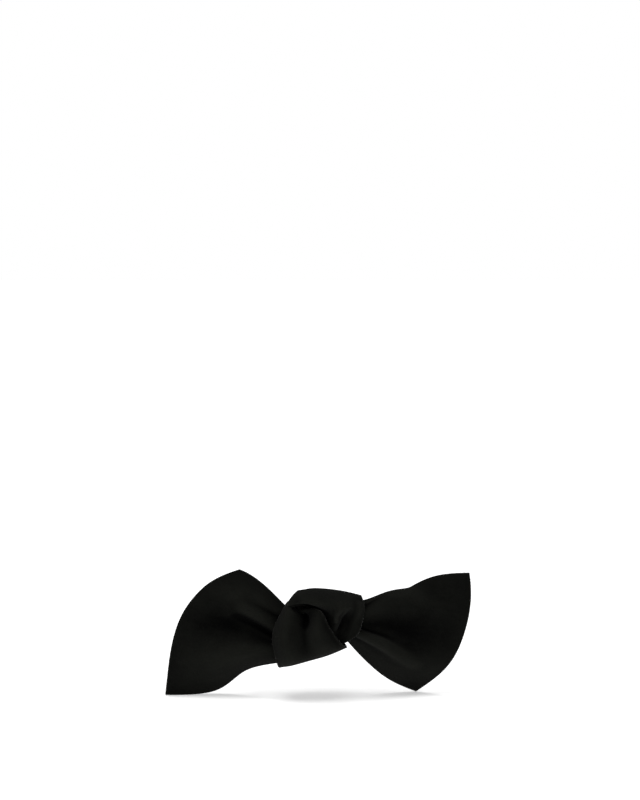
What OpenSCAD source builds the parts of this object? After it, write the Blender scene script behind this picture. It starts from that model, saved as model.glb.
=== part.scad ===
// Knotted hair bow on a sprung metal hair clip.
// One short band of brushed cloth is tied in a single overhand knot, and its two flared ends are the bow's tails.
// X runs along the bow, Y runs from its face to the clip behind it, Z is up. The lowest corners stand on Z = 0.

/* [Band] */
// Thickness of the face cloth
face_t = 0.5; // [0.3:0.1:0.6]
// Thickness of the backing cloth fused behind it
backing_t = 0.4; // [0.3:0.1:0.6]

/* [Clip] */
// Length of the base plate
plate_l = 60; // [56:1:62]
// Width of the base plate
plate_w = 8; // [7.6:0.2:9]
// Thickness of the base plate and of the clasp arm
sheet_t = 0.6; // [0.4:0.1:0.7]
// Height of the clasp arm's inner face above the plate, at mid length
arm_rise = 9.5; // [9:0.5:10.5]
// Height of the tension bar's outer face above the plate, at mid length
bar_rise = 3.4; // [3:0.1:3.6]
// Thickness of the tension bar
bar_t = 0.4; // [0.3:0.1:0.5]
// Radius of the hinge pin
pin_r = 0.75; // [0.6:0.05:0.8]

/* [Pad and thread] */
// Length of the felt pad between knot and clip
pad_l = 26; // [20:1:30]
// Thickness of the felt pad
pad_t = 1.0; // [0.8:0.1:1.2]
// Diameter of the lashing thread
thread_d = 0.5; // [0.4:0.1:0.6]

/* [Hidden] */

cloth = [0.07, 0.07, 0.07];
steel = [0.78, 0.78, 0.80];

// ---- Band ----
// The middle layer of the band, as rows of five points from its upper edge to its lower edge. The rows follow
// the band from the end of the right tail, through the knot, to the end of the left tail.
band_rows = [
    // right tail, from its cut end to the knot
    [[56.8, 5, 46.4], [57.2, 2.5, 36], [54.4, 2, 22.5], [48, 5, 10.2], [37.2, 10.5, 0]],
    [[43, 6.8, 44.4], [43.5, 2.6, 34.5], [41, 3, 23], [36, 2, 13], [28.3, 8.8, 4.3]],
    [[31, 8, 38], [28.5, 1, 38.8], [26.5, 1.6, 26.5], [24, -1.2, 20], [20, 6, 11.1]],
    [[16.5, 4.5, 35.3], [16.5, -0.5, 35.5], [15, 0.5, 28.5], [13.2, -0.5, 25], [11, 3.5, 21.3]],
    // under the upper wrap
    [[5, 4.5, 37], [5, 0.5, 36.5], [5, 1.5, 33], [4.5, -0.5, 30], [4, 3, 28]],
    [[-8.5, 3, 37], [-8.5, 0, 36], [-8.2, 1, 34], [-7.2, 0.2, 32.5], [-6, 1.5, 31]],
    // lower wrap, fanning out down the front
    [[-13.4, -1, 32.2], [-10.5, -5.5, 33.2], [-5.6, -1.2, 31.5], [-2.8, -4.6, 33.2], [-0.3, -6.3, 34.6]],
    [[-16.5, -2, 25], [-12, -8, 24.8], [-5.2, -6.6, 25.3], [-0.6, -9.2, 28], [3.5, -7.8, 29.2]],
    [[-15.7, -3, 16.8], [-10.6, -8.3, 16.5], [-4.3, -7.6, 18.2], [2.4, -8.8, 20.4], [8.2, -6.2, 22]],
    // under the knot and up its back
    [[-14.5, 0, 11.7], [-10.5, -1.2, 12.9], [-3.5, -1.2, 14.8], [3.5, -1.2, 16.9], [10.6, -1, 19.8]],
    [[-13.5, 6, 14.5], [-9, 8, 17], [-3, 8.7, 19], [3, 8.5, 20.5], [9, 6, 22]],
    [[-11, 7.5, 25], [-6, 9, 27], [0, 9.3, 28], [6, 9, 28.5], [12, 7.5, 28.5]],
    [[-8.5, 6, 35], [-5.5, 8, 36.5], [0, 8.5, 37.8], [8, 8, 36.8], [14.5, 6, 35.3]],
    // over the top and down the front as the upper wrap
    [[-7.6, 1, 39.9], [-4.5, 0.5, 40.3], [0, 0, 40.3], [8, 0, 39.9], [16, 0.5, 38.2]],
    [[-11.2, -3.4, 35.6], [-3.5, -7.2, 37.6], [7.6, -9, 37.3], [11.8, -7, 36.6], [16.8, -3, 35]],
    [[-5, 0.5, 34.6], [1.2, -4.6, 34.8], [7, -8.2, 33.2], [10.3, -4.8, 31.6], [16.3, -4, 29.6]],
    // diving under the lower wrap
    [[-2, 2, 30], [1.5, -2.6, 28.8], [5.8, -6, 28.3], [7.6, -3.6, 26], [12.6, -3.6, 23]],
    [[-3.5, 2, 26.5], [-3, -2, 25], [-2.5, -2.5, 21.5], [-2, -2, 18.5], [-1.5, 1.5, 16.5]],
    // left tail, from the knot to its cut end
    [[-11.2, 3, 32.9], [-13, 0.5, 28.8], [-14.5, 2.5, 22], [-14.5, 0, 17], [-14, 3, 13]],
    [[-19.5, 4, 41.1], [-24, -0.5, 34.5], [-27, 2.6, 26.5], [-28, -1.5, 17.5], [-27.5, 5, 9.3]],
    [[-25.7, 4.5, 45.8], [-35, 0, 39.5], [-41.5, 1, 28.5], [-43, -0.5, 15], [-38.5, 7, 1.3]],
    [[-29.5, 5, 47.5], [-41.7, 1.5, 42.3], [-51.3, 0, 30.5], [-55.5, 1, 15.5], [-57.5, 4, 0.1]]
];
// Moves the rows so that the whole bow is centred over its origin and its lowest corner touches Z = 0
band_shift = [0, -5.8, 0.35];
row_steps = 4;
along = row_steps * (len(band_rows) - 1);
across = 8;
row_intervals = len(band_rows[0]) - 1;

// Smooth curve through the points p, at the parameter t, which counts points
function curve(p, t) =
    let (last = len(p) - 1)
    let (i = min(floor(t), last - 1))
    let (s = t - i)
    let (a = p[max(i - 1, 0)])
    let (b = p[i])
    let (c = p[i + 1])
    let (d = p[min(i + 2, last)])
    b + 0.5 * s * (c - a + s * (2 * a - 5 * b + 4 * c - d + s * (3 * (b - c) + d - a)));

// The rows refined across the band, then along it
band_columns = [for (j = [0:across]) [for (row = band_rows) curve(row, j * row_intervals / across)]];
band_grid = [for (i = [0:along]) [for (j = [0:across]) curve(band_columns[j], i / row_steps) + band_shift]];

// Unit normal of the grid at (i, j), towards the face cloth
function grid_normal(g, i, j) =
    let (du = g[min(i + 1, along)][j] - g[max(i - 1, 0)][j])
    let (dv = g[i][min(j + 1, across)] - g[i][max(j - 1, 0)])
    let (n = cross(du, dv))
    n / norm(n);

// One cloth layer as a closed solid, between two distances from the band's middle layer
module cloth_layer(inner, outer) {
    row = across + 1;
    layer = (along + 1) * row;
    points = [for (h = [inner, outer]) for (i = [0:along]) for (j = [0:across])
        band_grid[i][j] + h * grid_normal(band_grid, i, j)];
    skin = [for (i = [0:along - 1]) for (j = [0:across - 1])
        let (a = i * row + j)
        each [[a, a + row, a + row + 1], [a, a + row + 1, a + 1],
              [layer + a, layer + a + 1, layer + a + row + 1],
              [layer + a, layer + a + row + 1, layer + a + row]]];
    long_edges = [for (i = [0:along - 1])
        let (a = i * row)
        let (b = a + across)
        each [[a, layer + a, layer + a + row], [a, layer + a + row, a + row],
              [b, b + row, layer + b + row], [b, layer + b + row, layer + b]]];
    cut_ends = [for (j = [0:across - 1])
        let (a = j)
        let (b = along * row + j)
        each [[a, a + 1, layer + a + 1], [a, layer + a + 1, layer + a],
              [b, layer + b, layer + b + 1], [b, layer + b + 1, b + 1]]];
    polyhedron(points, concat(skin, long_edges, cut_ends));
}

module band_face() {
    color(cloth) cloth_layer(0, face_t);
}

module band_backing() {
    color(cloth) cloth_layer(-backing_t, 0);
}

// ---- Clip ----
// The clip lies along X behind the knot. Its parts are drawn flat, X along the clip, Y away from the knot and
// Z across the clip, with the plate's outer face at Y = 0, then placed together.
clip_at = [0, 6.05, 27.6];
gap = 0.2;
run_gap = 0.05;

pin_inset = 2;
pin_x = pin_inset - plate_l / 2;
pin_y = 1.6;
pin_head_r = pin_r + 0.35;
pin_head_t = 0.4;
bore_r = pin_r + run_gap;
knuckle_r = bore_r + 0.5;

ear_t = sheet_t;
ear_r = 1.4;
ear_z = plate_w / 2 - ear_t;
arm_half_w = ear_z - gap;
middle_knuckle_half_w = 1.5;

// Clasp arm: a strip bent to one radius between the pin and the far end
arm_end_x = plate_l / 2 - 0.4;
arm_foot_y = pin_y + bore_r;
arm_mid_x = (pin_x + arm_end_x) / 2;
arm_half_chord = (arm_end_x - pin_x) / 2;
arm_sag = arm_rise - arm_foot_y;
arm_r = (pow(arm_half_chord, 2) + pow(arm_sag, 2)) / (2 * arm_sag);

// Catch: a riveted foot with two upright spring prongs, whose barbs stand above the arm's window
catch_x = plate_l / 2 - 3.4;
prong_l = 2;
prong_t = 0.4;
foot_t = 0.4;
foot_gap = 0.1;
window_half_l = prong_l / 2 + 0.45;
window_half_w = 2.3;
prong_outer = window_half_w - 0.35;
prong_h = 5.9;
barb_from = 4.7;
barb_to = 5.3;
barb_out = window_half_w - run_gap;
barb_lip = 0.15;
tip_lean = 0.25;
rivet_r = 0.7;
rivet_head_r = 1.05;
rivet_head_t = 0.3;
rivet_x = catch_x - 3;
foot_past_rivet = 1.5;

// Tension bar: a thinner strip that arches from the pin's middle knuckle to a free end
bar_end_x = plate_l / 2 - 8.5;
bar_half_w = 2.4;
bar_foot_y = 1.0;
bar_mid_x = (pin_x + bar_end_x) / 2;
bar_half_chord = (bar_end_x - pin_x) / 2;
bar_sag = bar_rise - bar_t - bar_foot_y;
bar_r = (pow(bar_half_chord, 2) + pow(bar_sag, 2)) / (2 * bar_sag);

module place_clip() {
    translate(clip_at) children();
}

// Extrudes a flat outline in X and Y by a half width to both sides of the clip's middle
module across_clip(half_w) {
    translate([0, 0, -half_w]) linear_extrude(2 * half_w) children();
}

// Strip bent to radius r whose inner face rises to the height top at mid_x, from x = from to x = to
module bent_strip(r, t, top, mid_x, from, to, half_w) {
    reach = top + 4 * t;
    across_clip(half_w) intersection() {
        translate([mid_x, top - r]) difference() {
            circle(r + t, $fn = 180);
            circle(r, $fn = 180);
        }
        translate([from, 0]) square([to - from, reach]);
    }
}

// Rolled end round the hinge pin, with a running clearance
module knuckle(half_w) {
    translate([pin_x, pin_y, -half_w]) cylinder(r = knuckle_r, h = 2 * half_w, $fn = 48);
}

module pin_bore(r) {
    translate([pin_x, pin_y, -plate_w]) cylinder(r = r, h = 2 * plate_w, $fn = 48);
}

module ear() {
    linear_extrude(ear_t) {
        translate([pin_x - ear_r, -sheet_t]) square([2 * ear_r, pin_y + sheet_t]);
        translate([pin_x, pin_y]) circle(ear_r, $fn = 48);
    }
}

module base_plate() {
    end_r = plate_w / 2;
    color(steel) place_clip() difference() {
        union() {
            rotate([90, 0, 0]) linear_extrude(sheet_t) {
                translate([-plate_l / 2, -end_r]) square([plate_l - end_r, plate_w]);
                translate([plate_l / 2 - end_r, 0]) circle(end_r, $fn = 64);
            }
            translate([0, 0, ear_z]) ear();
            translate([0, 0, -ear_z - ear_t]) ear();
        }
        pin_bore(pin_r);
        translate([rivet_x, 0, 0]) rotate([90, 0, 0])
            cylinder(r = rivet_r, h = 4 * sheet_t, center = true, $fn = 32);
    }
}

module hinge_pin() {
    half = plate_w / 2;
    color(steel) place_clip() translate([pin_x, pin_y, 0]) {
        cylinder(r = pin_r, h = 2 * half, center = true, $fn = 48);
        translate([0, 0, half]) cylinder(r = pin_head_r, h = pin_head_t, $fn = 48);
        translate([0, 0, -half - pin_head_t]) cylinder(r = pin_head_r, h = pin_head_t, $fn = 48);
    }
}

module clasp_arm() {
    slot_half_w = middle_knuckle_half_w + gap;
    slot_l = 2 * knuckle_r + gap;
    color(steel) place_clip() difference() {
        union() {
            bent_strip(arm_r, sheet_t, arm_rise, arm_mid_x, pin_x, arm_end_x, arm_half_w);
            knuckle(arm_half_w);
        }
        pin_bore(bore_r);
        translate([pin_x - knuckle_r - gap, 0, -slot_half_w]) cube([slot_l + knuckle_r, arm_rise, 2 * slot_half_w]);
        translate([catch_x - window_half_l, 0, -window_half_w])
            cube([2 * window_half_l, arm_rise, 2 * window_half_w]);
    }
}

module tension_bar() {
    inner_rise = bar_rise - bar_t;
    color(steel) place_clip() difference() {
        union() {
            bent_strip(bar_r, bar_t, inner_rise, bar_mid_x, pin_x + knuckle_r + gap, bar_end_x, bar_half_w);
            bent_strip(bar_r, bar_t, inner_rise, bar_mid_x, pin_x + bore_r, pin_x + knuckle_r + 2 * gap,
                middle_knuckle_half_w);
            knuckle(middle_knuckle_half_w);
        }
        pin_bore(bore_r);
    }
}

module catch_foot() {
    foot_from = rivet_x - foot_past_rivet;
    foot_to = catch_x + prong_l / 2;
    half_w = prong_outer;
    color(steel) place_clip() difference() {
        translate([foot_from, 0, -half_w]) cube([foot_to - foot_from, foot_t, 2 * half_w]);
        translate([rivet_x, 0, 0]) rotate([90, 0, 0])
            cylinder(r = rivet_r, h = 4 * foot_t, center = true, $fn = 32);
    }
}

module catch_rivet() {
    shank = sheet_t + foot_t;
    color(steel) place_clip() translate([rivet_x, foot_t, 0]) {
        rotate([90, 0, 0]) cylinder(r = rivet_r, h = shank, $fn = 32);
        rotate([-90, 0, 0]) cylinder(r = rivet_head_r, h = rivet_head_t, $fn = 32);
    }
}

// One upright spring prong, drawn as its end view and extruded along the clip
module prong() {
    outline = [[prong_outer - prong_t, foot_t + foot_gap], [prong_outer, foot_t + foot_gap],
               [prong_outer, barb_from], [barb_out, barb_from], [barb_out, barb_from + barb_lip],
               [prong_outer, barb_to], [prong_outer - tip_lean, prong_h],
               [prong_outer - prong_t - tip_lean, prong_h],
               [prong_outer - prong_t, barb_to]];
    translate([catch_x - prong_l / 2, 0, 0]) rotate([90, 0, 90]) linear_extrude(prong_l)
        polygon([for (p = outline) [p[1], p[0]]]);
}

module prong_upper() {
    color(steel) place_clip() prong();
}

module prong_lower() {
    color(steel) place_clip() mirror([0, 0, 1]) prong();
}

// ---- Pad, glue and thread ----
pad_margin = 1.2;
pad_half_w = plate_w / 2 + pad_margin;
glue_t = 0.4;
glue_r = 3;
glue_stretch = 1.6;
knot_back_t = 1.8;
lashing_x = 7;
turn_pitch = thread_d + 0.1;
pad_back = -sheet_t;
pad_front = pad_back - pad_t;

module felt_pad() {
    color([0.09, 0.09, 0.09]) place_clip() translate([-pad_l / 2, pad_front, -pad_half_w])
        cube([pad_l, pad_t, 2 * pad_half_w]);
}

module glue_bed() {
    color([0.85, 0.84, 0.80, 0.6]) place_clip() translate([0, pad_front - glue_t, 0])
        rotate([-90, 0, 0]) linear_extrude(glue_t) scale([glue_stretch, 1]) circle(glue_r, $fn = 40);
}

// Three turns of thread round the plate and through the pad, the glue and the back of the knot
module lashing(x) {
    r = thread_d / 2;
    half_w = plate_w / 2 + r;
    front = pad_front - glue_t - knot_back_t;
    back = r;
    color([0.12, 0.12, 0.12]) place_clip() for (k = [-1:1]) translate([x + k * turn_pitch, 0, 0]) {
        for (y = [front, back]) {
            translate([0, y, 0]) cylinder(r = r, h = 2 * half_w, center = true, $fn = 16);
            for (s = [-1, 1]) translate([0, y, s * half_w]) sphere(r, $fn = 16);
        }
        for (s = [-1, 1]) translate([0, front, s * half_w]) rotate([-90, 0, 0])
            cylinder(r = r, h = back - front, $fn = 16);
    }
}

module lashing_left() {
    lashing(-lashing_x);
}

module lashing_right() {
    lashing(lashing_x);
}

band_face();
band_backing();
glue_bed();
felt_pad();
base_plate();
hinge_pin();
clasp_arm();
tension_bar();
catch_foot();
catch_rivet();
prong_upper();
prong_lower();
lashing_left();
lashing_right();
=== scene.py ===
# %% [markdown]
# # A knotted hair bow on a spring clip
# The bow is one short band of near-black microsuede, two layers fused back to back and cut raw, tied in a
# single overhand knot. Behind the knot sits a sprung metal hair clip. The clip's plates, pin and catch come
# from the packed CAD frame. The cloth, the felt, the glue, the thread and every finish are made here.

# %% Load the frame
import bmesh
import bpy
import numpy as np
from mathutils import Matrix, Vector


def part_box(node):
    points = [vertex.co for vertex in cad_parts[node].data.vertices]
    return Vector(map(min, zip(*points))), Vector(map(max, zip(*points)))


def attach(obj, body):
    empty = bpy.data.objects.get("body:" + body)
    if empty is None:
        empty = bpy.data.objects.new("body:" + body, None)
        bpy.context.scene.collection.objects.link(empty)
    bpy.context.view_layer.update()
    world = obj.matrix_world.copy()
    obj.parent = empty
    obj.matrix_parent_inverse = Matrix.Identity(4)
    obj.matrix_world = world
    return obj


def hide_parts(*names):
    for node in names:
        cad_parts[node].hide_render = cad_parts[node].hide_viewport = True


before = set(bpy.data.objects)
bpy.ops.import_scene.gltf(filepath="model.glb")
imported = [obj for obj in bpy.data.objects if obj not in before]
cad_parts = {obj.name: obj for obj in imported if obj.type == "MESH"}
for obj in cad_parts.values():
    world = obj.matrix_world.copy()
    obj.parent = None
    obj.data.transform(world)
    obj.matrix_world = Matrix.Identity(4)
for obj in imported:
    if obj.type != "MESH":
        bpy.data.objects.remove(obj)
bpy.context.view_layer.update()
MM = 0.001

# %% [markdown]
# ## Camera
# A catalogue view of a small thing is taken with a long lens from a little above. A short lens close by would
# also fill the frame, but it would swell whatever is nearest to it. The camera looks down less than it rises,
# so the bow sits low in the frame.

# %% Camera
LENS = 100.0  # mm
CAMERA_DISTANCE = 0.835  # m
CAMERA_RISE = np.radians(12.0)
CAMERA_TILT = np.radians(6.05)
LOOK_AT = np.array([0.75, -5.8, 25.35]) * MM


def add_camera():
    """Camera on a line that rises by CAMERA_RISE from LOOK_AT, tilted down by CAMERA_TILT."""
    data = bpy.data.cameras.new("camera")
    data.lens = LENS
    camera = bpy.data.objects.new("camera", data)
    bpy.context.scene.collection.objects.link(camera)
    back = np.array([0.0, -np.cos(CAMERA_RISE), np.sin(CAMERA_RISE)])
    camera.location = LOOK_AT + CAMERA_DISTANCE * back
    camera.rotation_euler = (np.pi / 2 - CAMERA_TILT, 0.0, 0.0)
    bpy.context.scene.camera = camera
    return camera


print("camera at, m:", [round(v, 3) for v in add_camera().location])

# %% [markdown]
# ## Writing shader maths as formulas
# A procedural finish is a formula over the surface. It could be wired node by node, but that hides the
# formula, so a small class wraps a node's output and lets it be added and multiplied as a number is.


# %% Values
class Value:
    """A node's output. + and * on it add Math nodes and give another Value."""

    def __init__(self, finish, socket):
        self.finish = finish
        self.socket = socket

    def math(self, operation, first, second):
        """Result of one Math node on two numbers or Values."""
        return self.finish.node("ShaderNodeMath", {"operation": operation}, {0: first, 1: second})

    def __add__(self, other):
        return self.math("ADD", self, other)

    def __mul__(self, other):
        return self.math("MULTIPLY", self, other)

    __radd__ = __add__
    __rmul__ = __mul__


print("a value can be added or multiplied, on either side of a number")


# %% Finishes
class Finish:
    """A material under construction. node() adds any node, and surface() adds the Principled shader."""

    def __init__(self, name):
        self.material = bpy.data.materials.new(name)
        self.material.use_nodes = True
        self.tree = self.material.node_tree
        self.tree.nodes.clear()

    def node(self, kind, settings=None, inputs=None, output=0):
        """Adds a node of a kind, sets its settings, then fills its sockets with numbers or Values."""
        made = self.tree.nodes.new(kind)
        for key, value in (settings or {}).items():
            setattr(made, key, value)
        for key, value in (inputs or {}).items():
            if isinstance(value, Value):
                self.tree.links.new(value.socket, made.inputs[key])
            else:
                made.inputs[key].default_value = value
        return Value(self, made.outputs[output]) if made.outputs else made

    def place(self):
        """Where a point is on the object, in metres."""
        return self.node("ShaderNodeTexCoord", output="Object")

    def attribute(self, name):
        """The number that each point of the mesh carries under a name."""
        return self.node("ShaderNodeAttribute", {"attribute_name": name}, output="Fac")

    def noise(self, place, scale, detail=3.0, roughness=0.5, **more):
        """Smooth noise from 0 to 1, whose lumps are about 1 / scale metres across."""
        inputs = {"Vector": place, "Scale": scale, "Detail": detail, "Roughness": roughness, **more}
        return self.node("ShaderNodeTexNoise", None, inputs)

    def ramp(self, value, low, high, to_low=0.0, to_high=1.0):
        """Value carried from low..high to to_low..to_high, held at the ends."""
        inputs = {"Value": value, 1: low, 2: high, 3: to_low, 4: to_high}
        return self.node("ShaderNodeMapRange", {"clamp": True}, inputs)

    def mix(self, factor, first, second):
        """Colour between first and second."""
        inputs = {"Factor": factor, 6: first, 7: second}
        return self.node("ShaderNodeMix", {"data_type": "RGBA"}, inputs, output=2)

    def bump(self, height, distance, strength):
        """Normal tilted as if the surface rose by height times distance, in metres."""
        inputs = {"Height": height, "Distance": distance, "Strength": strength}
        return self.node("ShaderNodeBump", None, inputs)

    def surface(self, inputs):
        """Ends the material in a Principled shader with these sockets set, and gives the material."""
        shader = self.node("ShaderNodeBsdfPrincipled", None, inputs)
        self.node("ShaderNodeOutputMaterial", None, {"Surface": shader})
        return self.material


print("a finish offers:", [name for name in vars(Finish) if not name.startswith("_")])


# %% Colours
def grey(level):
    """Colour with the same level in red, green and blue."""
    return (level, level, level, 1.0)


def tinted(level, tint):
    """Colour of a tint at a level of brightness."""
    return tuple(level * channel for channel in tint) + (1.0,)


print("a mid grey is", grey(0.5))

# %% [markdown]
# ## Floor and light
# A black thing on a white floor needs a soft shade to sit in, and light from below, or its lower folds
# vanish. Lamps close to it would fall off across the floor, so both lamps here are far away and wide. The
# surroundings look white to the eye but light the bow with less than that. The floor glows, for the light
# that a white sweep throws back up, and it gives more of that glow to the bow than to the eye.

# %% White surroundings
SURROUND_LIGHT = 0.30


def white_surround():
    """World that looks white to the eye and lights the scene with SURROUND_LIGHT of that."""
    world = bpy.data.worlds.new("studio")
    world.use_nodes = True
    tree = world.node_tree
    seen = tree.nodes.new("ShaderNodeLightPath").outputs["Is Camera Ray"]
    level = tree.nodes.new("ShaderNodeMapRange")
    level.inputs["To Min"].default_value = SURROUND_LIGHT
    level.inputs["To Max"].default_value = 1.0
    tree.links.new(seen, level.inputs["Value"])
    tree.links.new(level.outputs["Result"], tree.nodes["Background"].inputs["Strength"])
    tree.nodes["Background"].inputs["Color"].default_value = grey(1.0)
    return world


bpy.context.scene.world = white_surround()
bpy.context.scene.view_settings.view_transform = "Standard"
print("world:", bpy.context.scene.world.name)

# %% Floor
FLOOR_SIZE = 6.0  # m
FLOOR_GLOW = 0.42  # as the eye sees it
FLOOR_BOUNCE = 0.7  # as it lights the bow


def white_paper(name):
    """Matt white paper that glows a little, and more to the bow than to the eye."""
    paper = Finish(name)
    grain = paper.noise(paper.place(), scale=400.0)
    seen = paper.node("ShaderNodeLightPath", output="Is Camera Ray")
    return paper.surface({
        "Base Color": paper.mix(grain, grey(0.90), grey(0.94)),
        "Roughness": 0.9,
        "Specular IOR Level": 0.2,
        "Emission Color": grey(1.0),
        "Emission Strength": paper.ramp(seen, 0.0, 1.0, FLOOR_BOUNCE, FLOOR_GLOW)})


half = FLOOR_SIZE / 2
sweep = bpy.data.meshes.new("floor")
corners = [(-half, -half, 0), (half, -half, 0), (half, half, 0), (-half, half, 0)]
sweep.from_pydata(corners, [], [(0, 1, 2, 3)])
sweep.materials.append(white_paper("white_paper"))
floor = bpy.data.objects.new("floor", sweep)
bpy.context.scene.collection.objects.link(floor)
print("floor, m:", FLOOR_SIZE)

# %% Soft lights
SOFT_SPREAD = np.radians(40.0)


def add_far_light(name, direction, strength):
    """Soft light from very far away, which shines along direction and lights the whole floor evenly."""
    data = bpy.data.lights.new(name, "SUN")
    data.energy = strength
    data.angle = SOFT_SPREAD
    light = bpy.data.objects.new(name, data)
    bpy.context.scene.collection.objects.link(light)
    light.rotation_euler = Vector(direction).to_track_quat("-Z", "Y").to_euler()


add_far_light("key", direction=(0.10, 0.08, -1.0), strength=2.2)
add_far_light("fill", direction=(0.8, 0.9, -0.1), strength=0.8)

# %% [markdown]
# ## The band's path
# A tied band is hard to fold by simulation, because the knot has to be drawn tight through itself. It is
# easier to say where the band lies. Each row below is five points across the band, and the rows follow it
# from the end of the right tail, through the knot, to the end of the left tail. They are the rows that the
# CAD model uses.

# %% Rows of the band
# x, y and z in mm, from the band's upper edge to its lower edge. The shift centres the bow over its origin.
BAND_SHIFT = np.array([0.0, -5.8, 0.35])
RIGHT_TAIL = [
    [[56.8, 5, 46.4], [57.2, 2.5, 36], [54.4, 2, 22.5], [48, 5, 10.2], [37.2, 10.5, 0]],
    [[43, 6.8, 44.4], [43.5, 2.6, 34.5], [41, 3, 23], [36, 2, 13], [28.3, 8.8, 4.3]],
    [[31, 8, 38], [28.5, 1.0, 38.8], [26.5, 1.6, 26.5], [24, -1.2, 20], [20, 6, 11.1]],
    [[16.5, 4.5, 35.3], [16.5, -0.5, 35.5], [15, 0.5, 28.5], [13.2, -0.5, 25], [11, 3.5, 21.3]],
]
UNDER_UPPER_WRAP = [
    [[5, 4.5, 37], [5, 0.5, 36.5], [5, 1.5, 33], [4.5, -0.5, 30], [4, 3, 28]],
    [[-8.5, 3, 37], [-8.5, 0, 36], [-8.2, 1, 34], [-7.2, 0.2, 32.5], [-6, 1.5, 31]],
]
LOWER_WRAP = [
    [[-13.4, -1, 32.2], [-10.5, -5.5, 33.2], [-5.6, -1.2, 31.5], [-2.8, -4.6, 33.2], [-0.3, -6.3, 34.6]],
    [[-16.5, -2, 25], [-12, -8, 24.8], [-5.2, -6.6, 25.3], [-0.6, -9.2, 28], [3.5, -7.8, 29.2]],
    [[-15.7, -3, 16.8], [-10.6, -8.3, 16.5], [-4.3, -7.6, 18.2], [2.4, -8.8, 20.4], [8.2, -6.2, 22]],
]
ROUND_THE_BACK = [
    [[-14.5, 0, 11.7], [-10.5, -1.2, 12.9], [-3.5, -1.2, 14.8], [3.5, -1.2, 16.9], [10.6, -1, 19.8]],
    [[-13.5, 6, 14.5], [-9, 8, 17], [-3, 8.7, 19], [3, 8.5, 20.5], [9, 6, 22]],
    [[-11, 7.5, 25], [-6, 9, 27], [0, 9.3, 28], [6, 9, 28.5], [12, 7.5, 28.5]],
    [[-8.5, 6, 35], [-5.5, 8, 36.5], [0, 8.5, 37.8], [8, 8, 36.8], [14.5, 6, 35.3]],
]
UPPER_WRAP = [
    [[-7.6, 1, 39.9], [-4.5, 0.5, 40.3], [0, 0, 40.3], [8, 0, 39.9], [16, 0.5, 38.2]],
    [[-11.2, -3.4, 35.6], [-3.5, -7.2, 37.6], [7.6, -9, 37.3], [11.8, -7, 36.6], [16.8, -3, 35]],
    [[-5, 0.5, 34.6], [1.2, -4.6, 34.8], [7, -8.2, 33.2], [10.3, -4.8, 31.6], [16.3, -4, 29.6]],
]
UNDER_LOWER_WRAP = [
    [[-2, 2, 30], [1.5, -2.6, 28.8], [5.8, -6, 28.3], [7.6, -3.6, 26], [12.6, -3.6, 23]],
    [[-3.5, 2, 26.5], [-3, -2, 25], [-2.5, -2.5, 21.5], [-2, -2, 18.5], [-1.5, 1.5, 16.5]],
]
LEFT_TAIL = [
    [[-11.2, 3, 32.9], [-13, 0.5, 28.8], [-14.5, 2.5, 22], [-14.5, 0, 17], [-14, 3, 13]],
    [[-19.5, 4, 41.1], [-24, -0.5, 34.5], [-27, 2.6, 26.5], [-28, -1.5, 17.5], [-27.5, 5, 9.3]],
    [[-25.7, 4.5, 45.8], [-35, 0, 39.5], [-41.5, 1, 28.5], [-43, -0.5, 15], [-38.5, 7, 1.3]],
    [[-29.5, 5, 47.5], [-41.7, 1.5, 42.3], [-51.3, 0, 30.5], [-55.5, 1, 15.5], [-57.5, 4, 0.1]],
]
BAND_ROWS = np.array(RIGHT_TAIL + UNDER_UPPER_WRAP + LOWER_WRAP + ROUND_THE_BACK + UPPER_WRAP
                     + UNDER_LOWER_WRAP + LEFT_TAIL, float)
print("band rows:", BAND_ROWS.shape)

# %% [markdown]
# ## From rows to a smooth sheet
# Subdivision would round the rows off and miss the points. A spline that bends as little as possible passes
# through them the way a thin batten does, and cloth bends like that too. It is run across each row first,
# then along the band.


# %% Batten spline
def batten(points, samples):
    """Natural cubic spline through points (k, ...) at evenly spaced parameters.

    The slopes D solve D[i-1] + 4 D[i] + D[i+1] = 3 (P[i+1] - P[i-1]), and each span is the cubic that has
    the points and slopes of its two ends.
    """
    count = len(points)
    flat = points.reshape(count, -1)
    system = 4 * np.eye(count) + np.eye(count, k=1) + np.eye(count, k=-1)
    system[0, 0] = system[-1, -1] = 2
    change = np.empty_like(flat)
    change[1:-1] = 3 * (flat[2:] - flat[:-2])
    change[0] = 3 * (flat[1] - flat[0])
    change[-1] = 3 * (flat[-1] - flat[-2])
    slopes = np.linalg.solve(system, change)
    place = np.linspace(0, count - 1, samples)
    span = np.minimum(place.astype(int), count - 2)
    s = (place - span)[:, None]
    start, end = flat[span], flat[span + 1]
    result = ((2 * s**3 - 3 * s**2 + 1) * start + (s**3 - 2 * s**2 + s) * slopes[span]
              + (3 * s**2 - 2 * s**3) * end + (s**3 - s**2) * slopes[span + 1])
    return result.reshape((samples,) + points.shape[1:])


ALONG = 440
ACROSS = 90
rows_across = batten(BAND_ROWS.transpose(1, 0, 2), ACROSS).transpose(1, 0, 2)
band = batten(rows_across, ALONG) + BAND_SHIFT
print("band grid:", band.shape)


# %% Normals and area of a grid
def unit(vectors):
    """Each vector divided by its own length."""
    return vectors / np.linalg.norm(vectors, axis=-1, keepdims=True)


def step_products(grid):
    """Cross product of the steps along and across the band at each grid point."""
    return np.cross(np.gradient(grid, axis=0), np.gradient(grid, axis=1))


def grid_normals(grid):
    """Unit normal at each grid point, square to both steps."""
    return unit(step_products(grid))


def grid_area(grid):
    """Area of a grid: the summed length of the cross product of its steps."""
    return np.linalg.norm(step_products(grid), axis=2).sum()


print("band area, cm2:", round(grid_area(band) / 100, 1))

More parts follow.
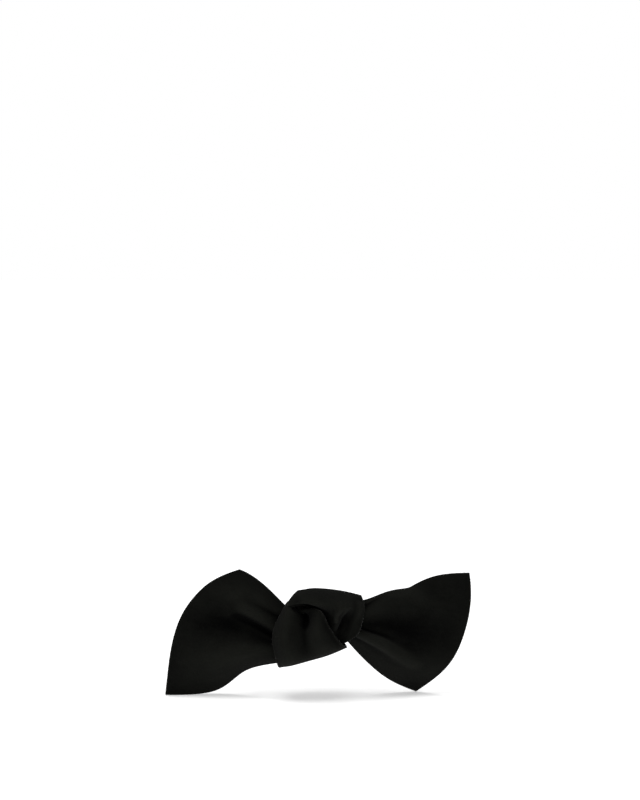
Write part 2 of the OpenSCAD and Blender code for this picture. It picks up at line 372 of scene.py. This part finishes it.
# %% [markdown]
# ## Folds
# Cloth that is drawn into a knot creases in lines that start at the knot and fade out. They could be
# sculpted, but a list says where each one runs. Each crease is a soft ridge or valley along a line in the
# band's own coordinates: u counts rows along it, and v counts the five points across it from 0 to 4.


# %% Creases
u = np.linspace(0, BAND_ROWS.shape[0] - 1, ALONG)[:, None]
v = np.linspace(0, BAND_ROWS.shape[1] - 1, ACROSS)[None, :]


def crease(start, end, width, height):
    """Height times exp(-(d / width)^2), fading towards the end, where d is the distance to the line."""
    du, dv = end[0] - start[0], end[1] - start[1]
    part = np.clip(((u - start[0]) * du + (v - start[1]) * dv) / (du * du + dv * dv), 0, 1)
    distance = np.hypot(u - start[0] - part * du, v - start[1] - part * dv)
    return height * np.exp(-(distance / width)**2) * (1 - part**2)


# start and end as (u, v), width in rows, height in mm towards the face
CREASES = [
    # right tail: long ridge, the valley above it, and two soft folds of the upper panel
    ((3.0, 2.8), (0.7, 3.05), 0.24, 1.9),
    ((3.0, 2.35), (1.7, 2.5), 0.14, -0.6),
    ((3.0, 1.55), (1.3, 1.5), 0.30, 0.7),
    ((3.0, 1.2), (2.0, 0.9), 0.18, -0.5),
    # left tail: the sharp valley, the roll above it, and the hollow under the top edge
    ((18.0, 2.0), (19.5, 1.6), 0.15, -1.5),
    ((18.0, 1.5), (19.5, 1.2), 0.20, 0.6),
    ((18.0, 0.9), (19.6, 0.85), 0.25, -0.9),
    ((18.0, 2.8), (19.6, 3.0), 0.30, 0.5),
    # upper wrap: the sharp fold, the valley beside it and the rolled right rim
    ((15.6, 2.0), (13.7, 2.05), 0.1, 0.6),
    ((15.8, 2.8), (14.2, 2.9), 0.25, -0.8),
    ((15.0, 0.4), (13.4, 0.6), 0.38, -1.7),
    ((14.0, 3.75), (16.3, 3.6), 0.25, 0.8),
    # lower wrap: the hollow between its two lobes, and the rolled rim of the right lobe
    ((5.7, 2.3), (6.8, 2.05), 0.33, -1.6),
    ((6.7, 2.05), (8.2, 2.0), 0.3, -0.4),
    ((8.4, 4.0), (6.0, 4.0), 0.12, 0.5),
]
relief = sum(crease(*line) for line in CREASES)
band = band + grid_normals(band) * relief[..., None]
print("relief, mm:", round(float(relief.min()), 2), round(float(relief.max()), 2))


# %% [markdown]
# ## Two layers of cloth
# The band is two cloths fused back to back. A Solidify modifier would thicken one sheet, but it can't keep
# two skins exactly face to face. So each layer is a closed shell between two distances from the band's
# middle: the cut edge shows its true thickness, and the layers stay together.


# %% Closed shell between two grids
def rim_of(grid):
    """What a grid holds round its rim, once round in order."""
    return np.concatenate([grid[:-1, 0], grid[-1, :-1], grid[:0:-1, -1], grid[0, :0:-1]])


def shell_mesh(name, inner, outer, uv):
    """Closed mesh between two grids of the same shape. Quads on both skins, and a wall round the rim."""
    rows, columns = inner.shape[:2]
    layer = rows * columns
    index = np.arange(layer).reshape(rows, columns)
    a, b, c, d = index[:-1, :-1], index[1:, :-1], index[1:, 1:], index[:-1, 1:]
    outside = np.stack([a, b, c, d], -1).reshape(-1, 4) + layer
    inside = np.stack([a, d, c, b], -1).reshape(-1, 4)
    rim = rim_of(index)
    following = np.roll(rim, -1)
    wall = np.stack([rim, following, following + layer, rim + layer], -1)
    faces = np.concatenate([outside, inside, wall])
    points = np.concatenate([inner.reshape(-1, 3), outer.reshape(-1, 3)]) * MM
    mesh = bpy.data.meshes.new(name)
    mesh.from_pydata(points, [], faces.tolist())
    corner_uv = np.concatenate([uv.reshape(-1, 2)] * 2)[faces.reshape(-1)] * MM
    mesh.uv_layers.new(name="cut").data.foreach_set("uv", corner_uv.reshape(-1))
    shade_smooth(mesh)
    mesh.update()
    return mesh


def shade_smooth(mesh):
    """Shades every face as part of one smooth surface."""
    mesh.polygons.foreach_set("use_smooth", [True] * len(mesh.polygons))


print("rim of a 3 by 3 grid:", rim_of(np.arange(9).reshape(3, 3)))


# %% Lengths along and across the cloth
def run_length(points, axis=0):
    """Distance travelled from the first point to each point along an axis."""
    first = np.take(points, [0], axis=axis)
    return np.cumsum(np.linalg.norm(np.diff(points, axis=axis, prepend=first), axis=-1), axis=axis)


length_along = run_length(band, axis=0)
length_across = run_length(band, axis=1)
cut_uv = np.stack([length_along, length_across - length_across[:, -1:] / 2], -1)
print("longest line along and across, mm:", round(length_along.max(), 1), round(length_across.max(), 1))


# %% Cloth shells
def add_piece(name, mesh, body):
    """Object for a mesh, which rides on a body and takes its finish from a material slot."""
    piece = bpy.data.objects.new(name, mesh)
    bpy.context.scene.collection.objects.link(piece)
    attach(piece, body)
    return piece


FACE_T = 0.5  # mm
BACKING_T = 0.4  # mm
normals = grid_normals(band)
face = add_piece("face_cloth", shell_mesh("face_cloth", band, band + FACE_T * normals, cut_uv), "bow")
backing = add_piece("backing_cloth", shell_mesh("backing_cloth", band - BACKING_T * normals, band, cut_uv),
                    "bow")
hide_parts("band_face")
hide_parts("band_backing")
print("cloth faces:", len(face.data.polygons), len(backing.data.polygons))

# %% [markdown]
# ## Where the cloth stands out and where it is cut
# Handled folds and cut edges wear lighter. The finish also paints a highlight on ridges and shade in creases
# and hollows. A finish could find them with Geometry's Pointiness, but that depends on how fine the mesh is.
# Here each point carries two numbers instead, which the finish reads: how far it stands out of its
# surroundings, and how far it is from the nearest cut edge, both in mm.


# %% Ridges and edges
def paint(mesh, name, values):
    """Stores one number per point of a shell, the same on both skins."""
    layer = mesh.attributes.new(name, "FLOAT", "POINT")
    layer.data.foreach_set("value", np.tile(values.reshape(-1), 2).astype(np.float32))


def stands_out(grid, normal, spread):
    """Distance along the normal from the mean of four points spread steps away to the point itself."""
    padded = np.pad(grid, ((spread, spread), (spread, spread), (0, 0)), mode="edge")
    span = slice(spread, -spread)
    ring = (padded[2 * spread:, span] + padded[:-2 * spread, span]
            + padded[span, 2 * spread:] + padded[span, :-2 * spread]) / 4
    return ((grid - ring) * normal).sum(-1)


RIDGE_SPREAD = 6  # grid steps
ridge = stands_out(band, normals, RIDGE_SPREAD)
to_long_edge = np.minimum(length_across, length_across[:, -1:] - length_across)
to_cut_end = np.minimum(length_along, length_along[-1:] - length_along)
edge_distance = np.minimum(to_long_edge, to_cut_end)
for cloth, side in ((face, 1.0), (backing, -1.0)):
    paint(cloth.data, "ridge", side * ridge)
    paint(cloth.data, "edge", edge_distance)
print("ridge, mm:", np.percentile(ridge, [1, 50, 99]).round(2))

# %% [markdown]
# ## Suede
# Microsuede is a mat of very fine fibres that stand up and lie over each other. Where they were last brushed
# they lean another way, so the cloth shows lighter and darker strokes. Hair could draw every fibre, but at
# this size noise in the tone and the bump does it. Folds that are handled wear a little lighter, and the tone
# also has a painted highlight on ridges and painted shade in creases. Loose fibres make the raw edge lighter
# too. The strokes follow the cloth's own UV map, not the room.


# %% Suede finish
SUEDE_LEVEL = 0.0019


def suede(name):
    """Near-black napped cloth: brushed strokes, a fine nap in tone and bump, lighter edges, ridges worn and
    painted lighter, and creases painted darker.
    """
    cloth = Finish(name)
    place = cloth.place()
    along_cloth = cloth.node("ShaderNodeUVMap", {"uv_map": "cut"})
    brushed = cloth.node("ShaderNodeMapping", None, {"Vector": along_cloth, "Scale": (1.0, 2.4, 1.0)})
    strokes = cloth.noise(brushed, scale=170.0, detail=4.0, roughness=0.6, Distortion=1.4)
    patches = cloth.noise(place, scale=75.0, detail=4.0, roughness=0.65)
    nap = cloth.noise(place, scale=2300.0, detail=5.0, roughness=0.75, Distortion=0.8)
    loose = cloth.ramp(cloth.noise(place, scale=700.0), 0.35, 0.65)
    # painted highlight on ridges and painted shade in creases and hollows, with some real wear on handled
    # folds
    ridge_wear_and_shading = cloth.ramp(cloth.attribute("ridge"), -0.25, 0.35)
    frayed = cloth.ramp(cloth.attribute("edge"), 0.0, 0.7, 1.0, 0.0) * loose
    tone = cloth.ramp(patches * 0.4 + strokes * 0.3 + nap * 0.35 + ridge_wear_and_shading * 0.7 + frayed * 0.7, 0.55, 1.45)
    dark = tinted(SUEDE_LEVEL, (0.08, 0.09, 0.07))
    light = tinted(SUEDE_LEVEL, (4.2, 4.4, 3.6))
    return cloth.surface({
        "Base Color": cloth.mix(tone, dark, light),
        "Roughness": cloth.ramp(nap, 0.3, 0.7, 0.85, 1.0),
        "Specular IOR Level": 0.04,
        "Sheen Weight": 0.009,
        "Sheen Roughness": 0.45,
        "Normal": cloth.bump(nap * 0.7 + strokes * 0.3, distance=0.0003, strength=0.8)})


face.data.materials.append(suede("face_suede"))
backing.data.materials.append(suede("backing_suede"))
print("suede on:", face.name, backing.name)

# %% [markdown]
# ## The band's cut size
# Tying folds a cloth but doesn't stretch it, so the band's flat size can be measured on the tied one: its
# length is the mean of all lines along it, and its width is the widest row. The ends flare and the middle is
# drawn in, so its true area is smaller than length times width.

# %% [markdown]
# ## Raw edges
# Microsuede doesn't ravel, so it is cut and left raw. The cut frees the ends of its fibres, and they stand
# out of the edge as a short fuzz. A hair system would be heavier and is lost in an export, so each fibre is a
# thin spike of seven points with a slight bend, set at a random place on the rim.


# %% Spikes
BEND_PLACE = 0.55  # share of the fibre's length from its root
BEND_SHARE = 0.1  # share of its length that the bend is off the straight line
BEND_TAPER = 0.7  # share of its radius that is left at the bend
randomness = np.random.default_rng(7)


def spikes(name, root, tip, radius):
    """Closed three-sided spikes from root to tip, each bent a little past its middle.

    Six of the points are two triangles square to the spike, at its root and at its bend. The last is its tip.
    """
    count = len(root)
    axis = tip - root
    side = unit(np.cross(axis, randomness.normal(size=(count, 3))))
    other = np.cross(unit(axis), side)
    length = np.linalg.norm(axis, axis=1, keepdims=True)
    middle = root + axis * BEND_PLACE + side * length * BEND_SHARE
    turns = np.arange(3) * 2 * np.pi / 3
    ring = np.cos(turns)[None, :, None] * side[:, None] + np.sin(turns)[None, :, None] * other[:, None]
    low, bend = root[:, None] + radius * ring, middle[:, None] + BEND_TAPER * radius * ring
    points = np.concatenate([low, bend, tip[:, None]], axis=1)
    walls = [(k, (k + 1) % 3, 3 + (k + 1) % 3, 3 + k) for k in range(3)]
    caps = [(2, 1, 0)] + [(3 + k, 3 + (k + 1) % 3, 6) for k in range(3)]
    first = points.shape[1] * np.arange(count)[:, None, None]
    quads = (np.array(walls)[None] + first).reshape(-1, 4)
    triangles = (np.array(caps)[None] + first).reshape(-1, 3)
    mesh = bpy.data.meshes.new(name)
    mesh.from_pydata(points.reshape(-1, 3) * MM, [], quads.tolist() + triangles.tolist())
    return mesh


print("a spike bends at", BEND_PLACE, "of its length")

# %% Fuzz on the cut edges
FIBRE_COUNT = 5200
FIBRE_RADIUS = 0.022  # mm
FIBRE_LENGTH = (0.15, 0.55)  # mm
FIBRE_ROOT = 0.05  # mm, into the cloth
FIBRE_SPLAY = 0.6  # sideways scatter, as a share of the way out
FIBRE_CLEARANCE = 0.05  # mm
rim = rim_of(band)
rim_normal = rim_of(normals)
one_step_in = np.concatenate([band[:-1, 1], band[-2, :-1], band[:0:-1, -2], band[1, :0:-1]])
outward = unit(rim - one_step_in)
pick = randomness.integers(0, len(rim), FIBRE_COUNT)
depth = randomness.uniform(-BACKING_T, FACE_T, (FIBRE_COUNT, 1))
slide = randomness.uniform(0, 1, (FIBRE_COUNT, 1)) * (np.roll(rim, -1, axis=0) - rim)[pick]
root = rim[pick] + depth * rim_normal[pick] + slide - FIBRE_ROOT * outward[pick]
lean = unit(outward[pick] + FIBRE_SPLAY * randomness.normal(size=(FIBRE_COUNT, 3)))
tip = root + lean * randomness.uniform(*FIBRE_LENGTH, (FIBRE_COUNT, 1))
# a fibre that meets the surface the bow stands on is bent up from it
tip[:, 2] = np.maximum(tip[:, 2], FIBRE_CLEARANCE)
fuzz = add_piece("edge_fuzz", spikes("edge_fuzz", root, tip, FIBRE_RADIUS), "bow")
print("fibres:", FIBRE_COUNT, "faces:", len(fuzz.data.polygons))

# %% [markdown]
# ## Fibre finish
# A loose fibre is dull and as dark as the cloth, but light gets round it, so it looks lighter, and the fuzz's
# colour is painted far lighter than the cloth's for that light. It is too thin to show a pattern of its own,
# and a hair shader would be wasted on it. What shows is that one fibre is lighter than the next, so the tone
# follows a noise that is coarser than a fibre. The sewing thread is made of such fibres too.


# %% Fibre finish
def plain_fibre(name, level):
    """Dull dark fibre with a slight change of tone from one fibre to the next."""
    fibre = Finish(name)
    tone = fibre.noise(fibre.place(), scale=900.0)
    return fibre.surface({
        "Base Color": fibre.mix(tone, grey(level * 0.5), grey(level * 1.6)),
        "Roughness": 0.9,
        "Specular IOR Level": 0.1,
        "Sheen Weight": 0.03})


# the fuzz's level, far above the cloth's, is painted light: it stands for the light that gets round thin
# fibres
fuzz.data.materials.append(plain_fibre("suede_fibre", 0.09))
print("fibre finish on:", fuzz.name)

# %% [markdown]
# ## Felt pad
# A strip of pressed felt lies between the clip and the knot, so that the plate doesn't print through the
# cloth. A bevelled box would look moulded. Scissors waver and felt is never quite even, so the pad is a shell
# between two skins whose rims and thickness follow a sum of sine waves.


# %% Boxes of the CAD nodes
def box_mm(node):
    """Lowest and highest corner of a CAD node at rest, in mm."""
    low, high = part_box(node)
    return np.array(low) / MM, np.array(high) / MM


def middle_and_half(node):
    """Middle of a CAD node's box and half its size, in mm."""
    low, high = box_mm(node)
    return (low + high) / 2, (high - low) / 2


print("felt box, mm:", [corner.round(1).tolist() for corner in box_mm("felt_pad")])

# %% Unevenness
WAVE_COUNT = 9
WAVE_PITCH = (2.0, 14.0)


def waves(a, b, seed):
    """Smooth unevenness from about -1 to 1: a sum of sine waves in random directions over a and b."""
    dice = np.random.default_rng(seed)
    total = np.zeros(np.broadcast(a, b).shape)
    for _ in range(WAVE_COUNT):
        pitch = dice.uniform(*WAVE_PITCH)
        heading, phase = dice.uniform(0, 2 * np.pi, 2)
        total = total + np.sin(pitch * (a * np.cos(heading) + b * np.sin(heading)) + phase)
    return total / np.sqrt(WAVE_COUNT / 2)


print("waves reach:", round(float(np.abs(waves(np.linspace(-1, 1, 99), 0.0, 3)).max()), 2))

# %% Felt pad
FELT_STEPS = (150, 60)
CORNER_PULL = 0.12  # share of the pad's half width
RIM_WAVER = 0.06  # mm
RIM_ROUNDING = 0.12  # mm
FELT_LUMPS = 0.03  # mm


def felt_grids(node):
    """Two skins over the box of a node, in X and Z.

    Each corner is pulled in by a high power of how far it lies along the other axis.
    """
    low, high = box_mm(node)
    middle, half = middle_and_half(node)
    a, b = np.meshgrid(np.linspace(-1, 1, FELT_STEPS[0]), np.linspace(-1, 1, FELT_STEPS[1]), indexing="ij")
    x = middle[0] + half[0] * a * (1 - CORNER_PULL * half[2] / half[0] * b**8)
    z = middle[2] + half[2] * b * (1 - CORNER_PULL * a**24)
    x = x + RIM_WAVER * waves(a * 2, b, 3) * np.abs(a)**6
    z = z + RIM_WAVER * waves(a * 2, b, 4) * np.abs(b)**6
    rounding = RIM_ROUNDING * (np.abs(a)**30 + np.abs(b)**16)
    front = low[1] + rounding + FELT_LUMPS * (1 + waves(a * 3, b, 5))
    back = high[1] - rounding - FELT_LUMPS * (1 + waves(a * 3, b, 6))
    uv = np.stack([x, z], -1)
    return np.stack([x, back, z], -1), np.stack([x, front, z], -1), uv


felt_back, felt_front, felt_uv = felt_grids("felt_pad")
felt = add_piece("felt_strip", shell_mesh("felt_strip", felt_back, felt_front, felt_uv), "bow")
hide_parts("felt_pad")

# %% [markdown]
# ## Felt finish
# Pressed felt has no weave: its wool fibres lie in all directions. Fibres could be scattered on it as on the
# cut edges, but the pad hides behind the clip. So a fine, twisted noise gives the tangle as a bump, and a
# coarser one mottles the tone.


# %% Felt finish
def felted(name, level):
    """Pressed wool: tangled fibres in the bump and a mottled tone."""
    wool = Finish(name)
    place = wool.place()
    tangle = wool.noise(place, scale=1500.0, detail=6.0, roughness=0.75, Distortion=1.5)
    clumps = wool.noise(place, scale=300.0, detail=2.0)
    mottle = wool.ramp(tangle * 0.6 + clumps * 0.4, 0.3, 0.7)
    return wool.surface({
        "Base Color": wool.mix(mottle, grey(level * 0.5), grey(level * 1.7)),
        "Roughness": 1.0,
        "Specular IOR Level": 0.1,
        "Sheen Weight": 0.05,
        "Normal": wool.bump(tangle, distance=0.00018, strength=0.9)})


felt.data.materials.append(felted("black_felt", 0.012))
print("felt finish on:", felt.name)

# %% [markdown]
# ## Glue
# A spot of hot glue holds the knot on the pad. It is pressed while it is soft, so it spreads to a flat disc
# with a rounded, uneven rim. A squashed sphere has that section, and sine waves round it make the rim uneven.
# It sets cloudy and a little see-through, so its colour drifts between two creams and some light goes in.


# %% Glue spot
GLUE_STEPS = (72, 25)
GLUE_LUMP = 0.05  # share of the spot's radius
RIM_FULLNESS = 0.5  # 1 is an ellipse, and less is a fuller rim


def lumpy_disc(name, node, seed):
    """Ball squashed to a node's box, with its poles at the two flat sides and an uneven rim.

    A point's height follows the sine of its rise, and its reach follows a power of the cosine.
    """
    middle, half = middle_and_half(node)
    columns, rows = GLUE_STEPS
    turn = np.linspace(0, 2 * np.pi, columns, endpoint=False)[None, :]
    rise = np.linspace(-np.pi / 2, np.pi / 2, rows)[1:-1, None]
    uneven = 1 + GLUE_LUMP * waves(np.cos(turn) * 0.5, np.sin(turn) * 0.5, seed)
    reach = np.cos(rise)**RIM_FULLNESS * uneven
    wall = np.stack([middle[0] + half[0] * reach * np.cos(turn),
                     middle[1] + half[1] * np.sin(rise) + 0 * turn,
                     middle[2] + half[2] * reach * np.sin(turn)], -1)
    poles = middle + np.array([[0, -half[1], 0], [0, half[1], 0]])
    points = np.concatenate([wall.reshape(-1, 3), poles])
    index = np.arange(len(rise) * columns).reshape(len(rise), columns)
    beside = np.roll(index, -1, axis=1)
    quads = np.stack([index[:-1], index[1:], beside[1:], beside[:-1]], -1).reshape(-1, 4)
    first, last = len(points) - 2, len(points) - 1
    fan = [(first, a, b) for a, b in zip(index[0].tolist(), beside[0].tolist())]
    fan += [(last, b, a) for a, b in zip(index[-1].tolist(), beside[-1].tolist())]
    mesh = bpy.data.meshes.new(name)
    mesh.from_pydata(points * MM, [], quads.tolist() + fan)
    shade_smooth(mesh)
    return mesh


glue = add_piece("glue_spot", lumpy_disc("glue_spot", "glue_bed", 11), "bow")
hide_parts("glue_bed")
print("glue faces:", len(glue.data.polygons))


# %% Glue finish
def set_glue(name):
    """Cloudy cream glue with a satin skin that lets a little light in."""
    hot_glue = Finish(name)
    cloud = hot_glue.noise(hot_glue.place(), scale=500.0)
    return hot_glue.surface({
        "Base Color": hot_glue.mix(cloud, (0.72, 0.68, 0.56, 1.0), (0.82, 0.79, 0.70, 1.0)),
        "Roughness": hot_glue.ramp(cloud, 0.3, 0.7, 0.22, 0.38),
        "Subsurface Weight": 0.3,
        "Subsurface Scale": 0.001})


glue.data.materials.append(set_glue("hot_glue"))
print("glue finish on:", glue.name)

# %% [markdown]
# ## Lashing thread
# Two lashings of polyester thread bind the plate to the back of the knot. Sewing thread is three plies
# twisted together. A plain tube with a twisted bump would look flat at its outline, so each ply is a tube
# that winds round the thread's path, and the path is a squarish loop that moves along by one thread at each
# turn.


# %% Tube along a path
CLIP_LINE = np.array([1.0, 0.0, 0.0])  # the way that the clip runs


def tube(path, radius, sides):
    """Closed tube along a path: rings square to it, each with one arm square to the clip's line too."""
    tangent = unit(np.gradient(path, axis=0))
    first = unit(np.cross(tangent, CLIP_LINE))
    second = np.cross(tangent, first)
    angle = np.arange(sides) * 2 * np.pi / sides
    ring = path[:, None] + radius * (np.cos(angle)[None, :, None] * first[:, None]
                                     + np.sin(angle)[None, :, None] * second[:, None])
    index = np.arange(len(path) * sides).reshape(len(path), sides)
    beside = np.roll(index, -1, axis=1)
    walls = np.stack([index[:-1], beside[:-1], beside[1:], index[1:]], -1).reshape(-1, 4)
    caps = [index[0, ::-1].tolist(), index[-1].tolist()]
    return ring.reshape(-1, 3), walls.tolist() + caps


print("a tube with 8 sides and 2 rings has", len(tube(np.array([[0.0, 0, 0], [0, 0, 1]]), 1, 8)[1]), "faces")

# %% Path of a lashing
THREAD_RADIUS = 0.25  # mm
LASHING_TURNS = 3
PATH_STEPS = 900
SQUARISH = 0.34  # 1 is an ellipse, and less is squarer


def lashing_path(node):
    """Squarish loop round the box of a node: y and z follow a superellipse while x moves along steadily."""
    middle, half = middle_and_half(node)
    turn = 2 * np.pi * np.linspace(0.5, LASHING_TURNS + 0.5, PATH_STEPS)
    x = np.linspace(-1, 1, PATH_STEPS)
    y = np.sign(np.cos(turn)) * np.abs(np.cos(turn))**SQUARISH
    z = np.sign(np.sin(turn)) * np.abs(np.sin(turn))**SQUARISH
    return middle + np.stack([x, y, z], -1) * (half - THREAD_RADIUS)


print("thread in a lashing, mm:", round(run_length(lashing_path("lashing_left"))[-1], 1))

# %% Lashings
PLIES = 3
PLY_RADIUS = THREAD_RADIUS / 2
PLY_SIDES = 8
TWIST_PITCH = 1.3  # mm


def lashing(name, node):
    """Plies, each offset from the path by a ply's radius in a direction that turns once per twist pitch."""
    path = lashing_path(node)
    run = run_length(path)
    even = np.linspace(0, run[-1], PATH_STEPS)
    path = np.stack([np.interp(even, run, path[:, k]) for k in range(3)], -1)
    out = np.cross(unit(np.gradient(path, axis=0)), CLIP_LINE)
    points, faces = [], []
    for ply in range(PLIES):
        angle = 2 * np.pi * (even / TWIST_PITCH + ply / PLIES)[:, None]
        centre = path + PLY_RADIUS * (np.cos(angle) * CLIP_LINE + np.sin(angle) * out)
        ply_points, ply_faces = tube(centre, PLY_RADIUS, PLY_SIDES)
        first = PLY_SIDES * PATH_STEPS * ply
        faces += [[corner + first for corner in face_corners] for face_corners in ply_faces]
        points.append(ply_points)
    mesh = bpy.data.meshes.new(name)
    mesh.from_pydata(np.concatenate(points) * MM, [], faces)
    shade_smooth(mesh)
    piece = add_piece(name, mesh, "bow")
    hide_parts(node)
    return piece


sewing_thread = plain_fibre("sewing_thread", 0.03)
for side in ("left", "right"):
    bound = lashing("thread_" + side, "lashing_" + side)
    bound.data.materials.append(sewing_thread)
    print(bound.name, "faces:", len(bound.data.polygons))

# %% [markdown]
# ## Clip parts
# The clip's parts have their CAD shapes, and a finish alone could go on them. But stamped sheet never has a
# knife edge, because it is tumbled before it is plated. So each part here is a copy of its node with a small
# bevel, which catches a thin line of light.

# %% Tumbled copies of the clip's nodes
TUMBLED_EDGE = 0.07  # mm
SAME_POINT = 1e-7  # m
SAME_FACE = np.radians(1.0)
SHARP_EDGE = np.radians(35.0)


def tumbled(node, body, finish):
    """Copy of a CAD node, merged, with flat faces joined and its edges bevelled."""
    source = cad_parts[node]
    shape = bmesh.new()
    shape.from_mesh(source.data)
    bmesh.ops.remove_doubles(shape, verts=shape.verts, dist=SAME_POINT)
    bmesh.ops.dissolve_limit(shape, angle_limit=SAME_FACE, verts=shape.verts, edges=shape.edges)
    mesh = bpy.data.meshes.new("steel_" + node)
    shape.to_mesh(mesh)
    shape.free()
    mesh.materials.append(finish)
    shade_smooth(mesh)
    piece = add_piece("steel_" + node, mesh, body)
    bevel = piece.modifiers.new("tumbled edge", "BEVEL")
    bevel.width = TUMBLED_EDGE * MM
    bevel.segments = 2
    bevel.limit_method = "ANGLE"
    bevel.angle_limit = SHARP_EDGE
    even = piece.modifiers.new("even shading", "WEIGHTED_NORMAL")
    even.mode = "FACE_AREA"
    even.weight = 90
    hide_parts(node)
    return piece


print("bevel, mm:", TUMBLED_EDGE)

# %% [markdown]
# ## Plated and sprung steel
# Nickel plate is bright and a little warm, and the spring parts are duller bare steel. One plain metal colour
# would do from far off. Close up, sheet metal is rubbed along its length and hazy in patches, so one noise is
# stretched along the clip for the rubbing marks, and another keeps its round lumps for the haze.


# %% Metal finishes
def plated(name, low, high, tint):
    """Bright metal: fine rubbing marks along the clip, and a dull haze in patches, from rough low to high."""
    steel = Finish(name)
    place = steel.place()
    stretched = steel.node("ShaderNodeMapping", None, {"Vector": place, "Scale": (1.0, 14.0, 14.0)})
    scratch = steel.noise(stretched, scale=600.0, detail=4.0, roughness=0.7)
    haze = steel.noise(place, scale=120.0, detail=2.0)
    return steel.surface({
        "Base Color": steel.mix(haze, tinted(0.88, tint), tinted(1.0, tint)),
        "Metallic": 1.0,
        "Roughness": steel.ramp(scratch * 0.6 + haze * 0.4, 0.3, 0.7, low, high),
        "Normal": steel.bump(scratch, distance=0.00002, strength=0.4)})


NICKEL = plated("nickel_plate", 0.12, 0.26, (0.66, 0.64, 0.60))
SPRING = plated("spring_steel", 0.24, 0.40, (0.52, 0.52, 0.54))
print("metals:", NICKEL.name, SPRING.name)

# %% Clip pieces
# each node's body, material slot and finish
CLIP = {
    "base_plate": ("bow", "plated_steel", NICKEL),
    "hinge_pin": ("bow", "plated_steel", NICKEL),
    "catch_rivet": ("bow", "plated_steel", NICKEL),
    "catch_foot": ("bow", "spring_steel", SPRING),
    "clasp_arm": ("arm", "plated_steel", NICKEL),
    "tension_bar": ("bar", "spring_steel", SPRING),
    "prong_upper": ("upper_prong", "spring_steel", SPRING),
    "prong_lower": ("lower_prong", "spring_steel", SPRING),
}
for node, (body, slot, finish) in CLIP.items():
    part = tumbled(node, body, finish)
    print(part.name, "faces:", len(part.data.polygons))

# %% [markdown]
# ## Size
# The cloth and the thread may stand a little proud of the CAD model, but the whole stays the same size.
